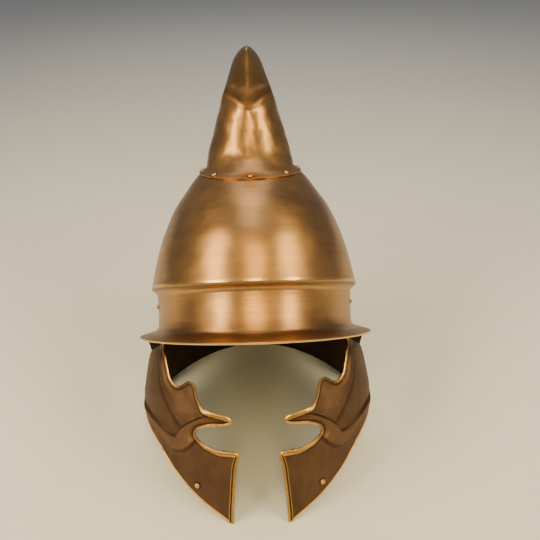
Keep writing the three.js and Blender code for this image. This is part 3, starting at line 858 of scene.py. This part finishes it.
def make_knuckle(name):
    deselect_all()
    bpy.ops.mesh.primitive_cylinder_add(
        vertices=BARREL_SIDES,
        radius=BARREL_RADIUS * MM,
        depth=HINGE_LENGTH * (1 - 2 * KNUCKLE_SHARE) * MM,
        end_fill_type="NOTHING",
        rotation=(math.pi / 2, 0, 0),
    )
    tube = bpy.context.object
    tube.name = name
    bpy.ops.object.transform_apply(location=True, rotation=True, scale=True)
    tube.data.transform(STAND @ Matrix.Translation(PIN_UPRIGHT))
    return finish_wall(tube, BARREL_BEVEL)


left_knuckle = make_knuckle("knuckle_left")
right_knuckle = mirror_copy(left_knuckle, "knuckle_right")
join_cheek(left_knuckle, "left")
join_cheek(right_knuckle, "right")
print("knuckle faces", len(left_knuckle.data.polygons))

# %% [markdown]
# The sheets are held by rivets with round heads. One rivet is turned from a profile of radius and
# height, then copied to each rivet of the solid model. The copy's place and direction are read
# from the points of the solid rivet: they lie evenly round its shank, so the odd one of their
# three spreads runs along it, and the wider head is the outer one.

# %% Rivet shape
RIVET_SIDES = 28
HEAD_HEIGHT = 1.7
SHANK_RADIUS = 1.2
INNER_HEAD_HEIGHT = 1
HEAD_EDGE = 0.97
INNER_HEAD = [(0.55, -1.0), (0.74, -0.92), (0.80, -0.7), (0.80, 0.0)]
OUTER_HEAD = [
    (0.93, 0.0),
    (1.0, 0.14),
    (0.985, 0.34),
    (0.90, 0.60),
    (0.74, 0.80),
    (0.50, 0.93),
    (0.24, 0.985),
]


def ring_place(radius, height):
    def place(degrees):
        a = math.radians(degrees)
        return Vector((radius * math.sin(a), -radius * math.cos(a), height)) * MM

    return place


def make_rivet(radius, depth):
    """Inner head, shank and outer head along +Z, with the seat at height zero."""
    foot = -depth - GAP
    rows = [(radius * r, foot + z) for r, z in INNER_HEAD]
    rows += [(SHANK_RADIUS, foot), (SHANK_RADIUS, GAP)]
    rows += [(radius * r, GAP + HEAD_HEIGHT * z) for r, z in OUTER_HEAD]
    rivet = start_ring("rivet", RIVET_SIDES, ring_place(*rows[0]))
    bpy.ops.mesh.edge_face_add()
    for row in rows[1:]:
        next_ring(rivet, ring_place(*row))
    bpy.ops.mesh.extrude_region_move()
    set_ring(rivet, lambda degrees: Vector((0, 0, GAP + HEAD_HEIGHT)) * MM)
    bpy.ops.mesh.merge(type="CENTER")
    return end_sheet(rivet)


def rivet_stand(node):
    """The top, turn, head radius and length of one rivet of the solid model."""
    points = numpy.array([tuple(point.co) for point in node.data.vertices])
    middle = (points.max(0) + points.min(0)) / 2
    spread, ways = numpy.linalg.eigh(numpy.cov((points - middle).T))
    axis = ways[:, 2] if spread[2] - spread[1] > spread[1] - spread[0] else ways[:, 0]
    middle = points.mean(0)
    along = (points - middle) @ axis
    reach = numpy.linalg.norm(points - middle - along[:, None] * axis, axis=1)
    if along[reach > reach.max() * HEAD_EDGE].mean() < 0:
        axis, along = -axis, -along
    top = Vector(middle + axis * along.max())
    turn = Vector(axis).to_track_quat("Z", "Y").to_matrix().to_4x4()
    return top, turn, reach.max() / MM, (along.max() - along.min()) / MM


def rider(name):
    """The body that a rivet moves with."""
    for side in ("left_cheek", "right_cheek"):
        if side in name:
            return side
    return "helmet"


# %% [markdown]
# The rivets come in three kinds, by the radius of the head and the length. Each kind is made once.
# The places of those on the bowl are kept for the finish, which darkens a ring round each, and one
# of each mirrored pair is enough.

# %% Rivets
RIVET_PLACES = []
rivets = []
models = {}
for name, node in list(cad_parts.items()):
    if "rivet" not in name:
        continue
    top, turn, radius, length = rivet_stand(node)
    kind = (round(radius, 1), round(length, 1))
    if kind not in models:
        depth = length - HEAD_HEIGHT - 2 * GAP - INNER_HEAD_HEIGHT
        models[kind] = make_rivet(radius, depth)
    rivet = copy_piece(models[kind], "fine_" + name)
    axis = turn.to_3x3() @ Vector((0, 0, 1))
    seat = top - axis * (GAP + HEAD_HEIGHT) * MM
    rivet.data.transform(Matrix.Translation(seat) @ turn)
    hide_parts(name)
    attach(rivet, rider(name))
    rivets.append(rivet)
    upright_seat = UPRIGHT @ seat
    if rider(name) == "helmet" and upright_seat.x > -2 * MM:
        RIVET_PLACES.append(upright_seat)
for model in models.values():
    bpy.data.objects.remove(model)
print("rivets", len(rivets), "kinds", sorted(models))

# %% [markdown]
# A finish is written as sums and products of patterns. This small class lets shader values be
# added and multiplied in plain Python, and each operator adds its own Math node. A second class
# holds a material, with one method for any node and short ones for those that are used most. The
# sheets' patterns are laid out in the upright bowl's frame, so that level lines follow the band.

# %% Shader values
class Value:
    """A socket that can be reckoned with."""

    def __init__(self, finish, socket):
        self.finish = finish
        self.socket = socket

    def math(self, operation, *others, clamp=False):
        settings = {"operation": operation, "use_clamp": clamp}
        return self.finish.node("ShaderNodeMath", settings, self, *others)

    def __add__(self, other):
        return self.math("ADD", other)

    def __mul__(self, other):
        return self.math("MULTIPLY", other)

    def __sub__(self, other):
        return self.math("SUBTRACT", other)

    def __rsub__(self, other):
        return self.finish.node("ShaderNodeMath", {"operation": "SUBTRACT"}, other, self)

    def clamped(self):
        return self.math("ADD", 0.0, clamp=True)

    __radd__ = __add__
    __rmul__ = __mul__


class Finish:
    """A material that is written node by node."""

    def __init__(self, name):
        self.material = bpy.data.materials.new(name)
        self.material.use_nodes = True
        self.tree = self.material.node_tree
        self.shader = self.tree.nodes["Principled BSDF"]
        coordinates = self.tree.nodes.new("ShaderNodeTexCoord")
        self.place = Value(self, coordinates.outputs["Object"])

    def node(self, kind, settings, *values, out=0, **named):
        """A node with its settings, and values or links for its inputs by order or by name."""
        node = self.tree.nodes.new(kind)
        for key, value in settings.items():
            setattr(node, key, value)
        for index, value in enumerate(values):
            self.feed(node.inputs[index], value)
        for key, value in named.items():
            self.feed(node.inputs[key.replace("_", " ")], value)
        return Value(self, node.outputs[out])

    def feed(self, socket, value):
        if isinstance(value, Value):
            self.tree.links.new(value.socket, socket)
        elif value is not None:
            socket.default_value = value

    def upright(self):
        """Object places turned back to the upright bowl, in metres."""
        origin = UPRIGHT.to_translation()
        return self.node(
            "ShaderNodeMapping", {"vector_type": "POINT"},
            Vector=self.place, Location=tuple(origin), Rotation=(LEAN, 0, 0),
        )

    def stretch(self, place, scale):
        return self.node("ShaderNodeMapping", {"vector_type": "POINT"}, Vector=place, Scale=scale)

    def noise(self, place, scale, detail=3.0, rough=0.55, warp=0.0):
        return self.node(
            "ShaderNodeTexNoise", {},
            Vector=place, Scale=scale, Detail=detail, Roughness=rough, Distortion=warp,
        )

    def step(self, value, low, high):
        """0 at one value and 1 at the other, with a soft way between."""
        settings = {"interpolation_type": "SMOOTHSTEP"}
        return self.node("ShaderNodeMapRange", settings, value, low, high, 0.0, 1.0)

    def between(self, value, limits):
        """A band that starts, is full, stops being full and ends at four values."""
        start, full, still_full, end = limits
        return self.step(value, start, full) * self.step(value, end, still_full)

    def mix(self, share, first, second):
        node = self.tree.nodes.new("ShaderNodeMix")
        node.data_type = "RGBA"
        self.feed(node.inputs["Factor"], share)
        for socket, value in ((node.inputs[6], first), (node.inputs[7], second)):
            self.feed(socket, value if isinstance(value, Value) else (*value, 1.0))
        return Value(self, node.outputs[2])

    def part(self, place, axis):
        return self.node("ShaderNodeSeparateXYZ", {}, place, out=axis)

    def near(self, place, points, gone, full):
        """A mask round each of some points on the wearer's left, and round their mirror places."""
        side = self.part(place, 0).math("ABSOLUTE")
        rest = (self.part(place, 1), self.part(place, 2))
        folded = self.node("ShaderNodeCombineXYZ", {}, side, *rest)
        mask = 0.0
        for point in points:
            settings = {"operation": "DISTANCE"}
            away = self.node("ShaderNodeVectorMath", settings, folded, tuple(point), out=1)
            mask = self.step(away, gone, full) + mask
        return mask.clamped()

    def attribute(self, name):
        node = self.tree.nodes.new("ShaderNodeAttribute")
        node.attribute_name = name
        return Value(self, node.outputs["Fac"])

    def bump(self, height, strength, distance, under=None):
        return self.node(
            "ShaderNodeBump", {}, Strength=strength, Distance=distance, Height=height, Normal=under
        )

    def apply(self, colour, rough, normal=None, metallic=1.0):
        self.feed(self.shader.inputs["Base Color"], colour)
        self.feed(self.shader.inputs["Roughness"], rough)
        self.feed(self.shader.inputs["Metallic"], metallic)
        if normal:
            self.feed(self.shader.inputs["Normal"], normal)
        return self.material


# %% [markdown]
# The bowl and peak are bronze that was spun and rubbed round with a fine abrasive, then darkened.
# Masks come first: brown where dirt gathers round the rivets and in specks, darker brown on the
# brim, the neck guard and the corner above the brim, and brown as painted shade in the groove
# under the ridge, on the beak's front and at the peak's crease. Pale brass where handling keeps the
# brim and the flange's edge rubbed bright, and as a painted highlight along the ridge and the keel.
# A mask has two limits, where it is gone and where it is full, and a band has four. They are in
# metres in the upright frame.

# %% Bowl masks
# The groove's band is painted shade under the ridge, and the ridge's band is a painted highlight.
GROOVE_SHADE = (0.0475, 0.0505, 0.0500, 0.0520)
RIDGE = (0.0518, 0.0526, 0.0540, 0.0552)
BAND_CORNER = (0.000, 0.006, 0.012, 0.022)
BRIM_DARKENING = (0.010, 0.002)
BRIM_TOP = (-0.004, 0.0)
BRIM_RIM = (0.976, 0.990)
PEAK_START = (0.160, 0.185)
IN_FRONT = (0.01, -0.02)
RIVET_DIRT = (0.0046, 0.0030)
SPECKS = (0.735, 0.77)

# The brim's edge is an ellipse: one over the squares of its half width and half depth.
BRIM_ACROSS = 68.3
BRIM_DEEP = 51.8

# The crease hangs like a chain across the peak: its height in the middle, and how it rises.
CREASE_HEIGHT = 0.2305
CREASE_RISE = 31.0
BEAK = (-0.001, 0.003)
UNDER_CREASE = (-0.004, 0.0, 0.002, 0.014)
KEEL_WIDTH = (0.0020, 0.0005)
KEEL_FOOT = (0.011, 0.017)

# The flange's edge lies in a sloping plane.
FLANGE_HEIGHT = 0.1766
FLANGE_SLOPE = 0.372
FLANGE_RIM = (-0.0016, -0.0006, 0.0004, 0.0012)


def bowl_masks(finish, place):
    """Masks of the brim's foot, the peak, its crease's shade, brown dirt and painted shade, rubbed
    edges and painted highlight.
    """
    across = finish.part(place, 0)
    deep = finish.part(place, 1)
    height = finish.part(place, 2)
    # Below the band's foot the brim and neck guard are darker brown and rougher.
    low = finish.step(height, *BRIM_DARKENING)
    ahead = finish.step(deep, *IN_FRONT)
    on_peak = finish.step(height, *PEAK_START)
    # Painted shade: the beak's front and a band under its crease are darkened brown.
    over_crease = height - across * across * CREASE_RISE - CREASE_HEIGHT
    beak_shade = finish.step(over_crease, *BEAK) * ahead
    under = finish.between(over_crease, UNDER_CREASE) * ahead
    specks = finish.step(finish.noise(place, 240.0, 2.0, 0.5), *SPECKS)
    ring = finish.near(place, RIVET_PLACES, *RIVET_DIRT)
    # Brown as painted shade in the groove under the ridge, and brown in the corner above the brim.
    brown_dirt_and_shade = finish.between(height, GROOVE_SHADE) * 0.9 + finish.between(height, BAND_CORNER) * 0.45
    brown_dirt_and_shade = brown_dirt_and_shade + low * 0.4 + specks * 0.6 + beak_shade * 0.30 + under * 0.6 + ring * 0.7
    reach = across * across * BRIM_ACROSS + deep * deep * BRIM_DEEP
    brim = finish.step(reach, *BRIM_RIM) * finish.step(height, *BRIM_TOP)
    # Painted highlight in pale brass along the keel and, lower down, the ridge. The brim's and
    # flange's edges are rubbed.
    keel = finish.step(across.math("ABSOLUTE"), *KEEL_WIDTH) * finish.step(over_crease, *KEEL_FOOT)
    flange = finish.between(height - deep * FLANGE_SLOPE - FLANGE_HEIGHT, FLANGE_RIM)
    rubbed_and_highlit = brim + finish.between(height, RIDGE) * 0.7 + keel * ahead * 0.6
    rubbed_and_highlit = rubbed_and_highlit + flange * finish.attribute("flange")
    return low, on_peak, under, brown_dirt_and_shade.clamped(), rubbed_and_highlit


# %% [markdown]
# The finish lays them over the metal: fine lines run level round the upright bowl, and a brown
# patina lies in soft clouds. The peak was hammered and not spun, so it has almost no lines, and
# has small dents instead.

# %% Bowl finish
BRONZE_LIGHT = (0.80, 0.43, 0.118)
BRONZE_DARK = (0.295, 0.162, 0.092)
DIRT_AND_SHADE_BROWN = (0.13, 0.068, 0.033)
RIM_BRASS = (0.84, 0.51, 0.17)
SPUN_LINES = (7.0, 7.0, 950.0)
SPUN_BANDS = (5.0, 5.0, 170.0)
PEAK_PLAIN = 0.96


def bowl_finish():
    finish = Finish("spun_bronze")
    place = finish.upright()
    low, on_peak, under, brown_dirt_and_shade, rubbed_and_highlit = bowl_masks(finish, place)
    clouds = finish.noise(place, 13.0, 4.0, 0.6, 0.4)
    patches = finish.noise(place, 42.0, 5.0, 0.65)
    lines = finish.noise(finish.stretch(place, SPUN_LINES), 1.0, 3.0, 0.6)
    broad = finish.noise(finish.stretch(place, SPUN_BANDS), 1.0, 3.0, 0.55)
    tone = (clouds * 0.9 + patches * 0.40 + broad * 0.45 - 0.52).clamped()
    colour = finish.mix(tone, BRONZE_DARK, BRONZE_LIGHT)
    plain = 1.0 - on_peak * PEAK_PLAIN
    colour = finish.mix(((lines * 0.7 - 0.16) * plain).clamped(), colour, BRONZE_DARK)
    # Brown for dirt and painted shade, then pale brass for rubbed edges and painted highlight.
    colour = finish.mix(brown_dirt_and_shade, colour, DIRT_AND_SHADE_BROWN)
    colour = finish.mix(rubbed_and_highlit.clamped(), colour, RIM_BRASS)
    rough = clouds * 0.14 + patches * 0.08 + lines * plain * 0.14 + low * 0.1 + under * 0.16 + 0.16
    rough = (rough + on_peak * 0.05 - rubbed_and_highlit * 0.1).clamped()
    fine = finish.bump(lines * plain, 0.16, 0.0004)
    wide = finish.bump(broad * plain, 0.10, 0.0010, fine)
    dents = finish.bump(finish.noise(place, 20.0, 2.0, 0.5), 0.10, 0.004, wide)
    hammered = finish.bump(finish.noise(place, 52.0, 2.0, 0.5) * on_peak, 0.30, 0.0026, dents)
    return finish.apply(colour, rough, hammered)


# %% [markdown]
# The inside was never polished: it is dull and dark, with faint streaks. Each sheet has it in its
# second material slot, which Solidify gave to the inner faces.

# %% Inside finish
INSIDE_DARK = (0.030, 0.020, 0.014)
INSIDE_WARM = (0.085, 0.050, 0.028)
INSIDE_STREAKS = (8.0, 8.0, 260.0)


def inner_finish():
    finish = Finish("dark_inside")
    place = finish.upright()
    clouds = finish.noise(place, 18.0, 4.0, 0.6)
    streaks = finish.noise(finish.stretch(place, INSIDE_STREAKS), 1.0, 3.0, 0.6)
    colour = finish.mix((clouds * 1.3 - 0.3).clamped(), INSIDE_DARK, INSIDE_WARM)
    rough = (0.52 + streaks * 0.2).clamped()
    return finish.apply(colour, rough, finish.bump(streaks, 0.15, 0.0004))


def give(piece, *materials):
    """The outer finish, and on a sheet the finish of its inside. A slot keeps its faces."""
    while len(piece.data.materials) > len(materials):
        piece.data.materials.pop()
    while len(piece.data.materials) < len(materials):
        piece.data.materials.append(None)
    for slot, material in enumerate(materials):
        piece.data.materials[slot] = material


spun_bronze = bowl_finish()
dark_inside = inner_finish()
give(bowl, spun_bronze, dark_inside)
give(peak, spun_bronze, dark_inside)
print("bowl finish nodes", len(spun_bronze.node_tree.nodes))

# %% [markdown]
# The cheek pieces are darker: a reddish brown patina lies in the flats, lighter on the moustache as
# rubbed bronze and painted highlight, with painted shade beside it, inside the rims and at the
# pad's foot, and a dark ring round the rivet. The rims are rubbed back to pale brass, with painted
# highlight.

# %% Cheek finish
PATINA_RED = (0.092, 0.053, 0.036)
SHADE_AND_DIRT_DARK = (0.036, 0.020, 0.013)
PATINA_WARM = (0.228, 0.128, 0.072)
RIM_GOLD = (0.80, 0.45, 0.115)
RUB_STRETCH = (90.0, 90.0, 24.0)


def cheek_finish():
    finish = Finish("brown_patina")
    place = finish.upright()
    clouds = finish.noise(place, 24.0, 5.0, 0.62, 0.5)
    patches = finish.noise(place, 75.0, 4.0, 0.6)
    grain = finish.noise(place, 480.0, 3.0, 0.6)
    rub = finish.noise(finish.stretch(place, RUB_STRETCH), 1.0, 4.0, 0.6)
    rim = finish.attribute("rubbed_and_highlit_edge")
    band = finish.attribute("moustache")
    shade_and_dirt = finish.attribute("shade_and_dirt")
    # Painted shade beside the moustache, and on it a lighter tone that is rubbing and painted
    # highlight.
    beside = (band * (1.0 - band) * 4.0).clamped()
    warm = (clouds * 0.9 + rub * 0.5 + patches * 0.25 + band * 0.30 - 0.62).clamped()
    colour = finish.mix(warm, PATINA_RED, PATINA_WARM)
    # Dark for painted shade, and for the dirt round the rivet.
    colour = finish.mix((beside * 0.7 + shade_and_dirt * 0.75).clamped(), colour, SHADE_AND_DIRT_DARK)
    # Pale gold on the rubbed rims, with painted highlight along them.
    worn_and_highlit = (rim * (patches * 1.0 + 0.42)).clamped()
    colour = finish.mix(worn_and_highlit, colour, RIM_GOLD)
    rough = (0.46 + grain * 0.12 + patches * 0.08 - worn_and_highlit * 0.30).clamped()
    normal = finish.bump(grain, 0.10, 0.0006)
    normal = finish.bump(clouds, 0.16, 0.003, normal)
    normal = finish.bump(patches, 0.08, 0.0015, normal)
    return finish.apply(colour, rough, normal)


brown_patina = cheek_finish()
for piece in (left_cheek, right_cheek, left_knuckle, right_knuckle):
    give(piece, brown_patina, dark_inside)
print("cheek finish nodes", len(brown_patina.node_tree.nodes))

# %% [markdown]
# The rivets are cut from brass rod and are brighter than the sheets, with a few brown stains. The
# hinge pins are of the same rod, and the hinge leaves have the dull finish of the inside.

# %% Rivet and hinge finish
def rivet_finish():
    finish = Finish("rivet_brass")
    grain = finish.noise(finish.place, 700.0, 3.0, 0.6)
    stain = finish.noise(finish.place, 160.0, 3.0, 0.6)
    colour = finish.mix((stain * 1.4 - 0.35).clamped(), RIM_BRASS, BRONZE_DARK)
    rough = (grain * 0.18 + 0.20).clamped()
    return finish.apply(colour, rough, finish.bump(grain, 0.1, 0.0003))


rivet_brass = rivet_finish()
for piece in rivets:
    give(piece, rivet_brass)
for name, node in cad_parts.items():
    if "hinge_pin" in name or "rivet" in name:
        give(node, rivet_brass)
    elif "hinge_leaf" in name:
        give(node, dark_inside)
print("rivet finish on", len(rivets), "rivets")

# %% [markdown]
# The floor is one pale plane, much larger than the view, so that no edge shows. It belongs to the
# stage and isn't part of the helmet.

# %% Floor
FLOOR_SIZE = 14
FLOOR_DARK = (0.71, 0.73, 0.76)
FLOOR_LIGHT = (0.75, 0.77, 0.80)


def floor_finish():
    finish = Finish("pale_floor")
    grain = finish.noise(finish.place, 30.0, 3.0, 0.6)
    colour = finish.mix(grain, FLOOR_DARK, FLOOR_LIGHT)
    return finish.apply(colour, 0.75, None, 0.0)


deselect_all()
bpy.ops.mesh.primitive_plane_add(size=FLOOR_SIZE)
floor = bpy.context.object
floor.name = "studio_floor"
give(floor, floor_finish())
print("floor", FLOOR_SIZE, "m")

# %% [markdown]
# Polished metal shows its surroundings, so the light is a few soft panels at places where the
# bronze mirrors them. The band mirrors what stands to each side in front, and the leaning dome
# what hangs above, so each long panel runs from low in front to high over the side. A weak grey
# world fills the rest.

# %% Light
AIM = (0, 0, 0.2)
WINDOW = (1.0, 0.81, 0.43)
BOUNCE = (1.0, 0.72, 0.26)
DAYLIGHT = (1.0, 0.98, 0.95)
LEFT_RUN = (0.14, 0.68, 0.40)
RIGHT_RUN = (-0.14, 0.68, 0.40)
FRONT_RUN = (0, 0.8, 0.5)
WORLD_COLOUR = (0.80, 0.80, 0.80, 1)
WORLD_STRENGTH = 0.24


def soft_light(name, spot, width, length, power, colour, run):
    """A soft panel that faces the helmet, with its long side along a direction."""
    bpy.ops.object.light_add(type="AREA", location=spot)
    lamp = bpy.context.object
    lamp.name = name
    lamp.data.shape = "RECTANGLE"
    lamp.data.size = width
    lamp.data.size_y = length
    lamp.data.energy = power
    lamp.data.color = colour
    back = (Vector(spot) - Vector(AIM)).normalized()
    side = Vector(run).cross(back).normalized()
    lamp.rotation_euler = Matrix((side, back.cross(side), back)).transposed().to_euler()
    return lamp


lamps = [
    soft_light("left_window", (-0.86, -0.30, 1.04), 0.36, 1.3, 15, WINDOW, LEFT_RUN),
    soft_light("right_window", (0.86, -0.30, 1.04), 0.30, 1.3, 11.5, WINDOW, RIGHT_RUN),
    soft_light("front_bounce", (0.03, -0.80, 1.44), 0.34, 1.5, 13, BOUNCE, FRONT_RUN),
    soft_light("left_low", (-0.93, -0.88, 0.68), 0.26, 0.36, 3.6, WINDOW, LEFT_RUN),
    soft_light("right_low", (0.93, -0.88, 0.68), 0.22, 0.36, 3.2, WINDOW, RIGHT_RUN),
    soft_light("front_low", (0.03, -1.42, 1.00), 0.40, 0.45, 4.2, BOUNCE, FRONT_RUN),
    soft_light("top_strip", (0.01, 0.75, 1.75), 0.16, 1.0, 1.4, WINDOW, (0, 1, -0.4)),
    soft_light("back_light", (0, 1.5, 2.2), 2.2, 1.0, 11, DAYLIGHT, (1, 0, 0)),
]
world = bpy.data.worlds.new("studio")
bpy.context.scene.world = world
world.use_nodes = True
background = world.node_tree.nodes["Background"]
background.inputs["Color"].default_value = WORLD_COLOUR
background.inputs["Strength"].default_value = WORLD_STRENGTH
print("lamps", [(lamp.name, round(lamp.data.energy, 1)) for lamp in lamps])
